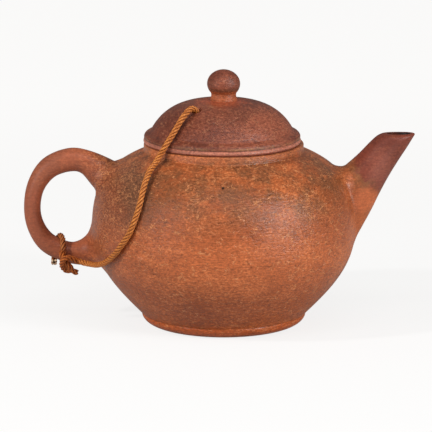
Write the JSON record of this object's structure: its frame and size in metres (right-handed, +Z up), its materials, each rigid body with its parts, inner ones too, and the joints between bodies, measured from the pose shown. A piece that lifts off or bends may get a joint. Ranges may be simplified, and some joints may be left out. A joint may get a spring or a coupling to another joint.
{
  "type": "teapot",
  "caption": "Small round unglazed clay teapot with a straight spout, an ear handle and a loose domed lid that a twisted cord ties to the handle.",
  "frame": {"origin": "middle of the pot's outline, seen from above, on the plane that the foot stands on", "axes": "+X from the handle to the spout, +Z up, +Y away from the side that the cord runs down; the axis of the round body, the foot and the mouth is at x = 1.85 mm"},
  "size_m": [0.1562, 0.1056, 0.1027],
  "materials": {
    "fired_clay": "unglazed orange-red stoneware clay, burnished to a soft satin, with an olive-brown patina",
    "darker_clay": "the same unglazed clay, worn dark and smooth by handling",
    "twisted_cord": "matt golden-brown twisted plant-fibre cord"
  },
  "bodies": {
    "pot": {"body_wall": "fired_clay", "base_disc": "fired_clay", "foot_ring": "fired_clay", "mouth_collar": "fired_clay", "spout": "darker_clay", "handle": "fired_clay", "tether_cord": "twisted_cord", "tether_loop": "twisted_cord", "tether_knot": "twisted_cord", "tether_tail": "twisted_cord"},
    "lid": {"lid_dome": "darker_clay", "lid_flange": "darker_clay", "lid_knob": "darker_clay", "tether_stop": "twisted_cord"}
  },
  "joints": [
    {"name": "lid_lift", "type": "slide", "parent": "pot", "child": "lid", "axis": [0, 0, 1], "range_m": [0, 0.03], "deforming": ["tether_cord"]}
  ]
}
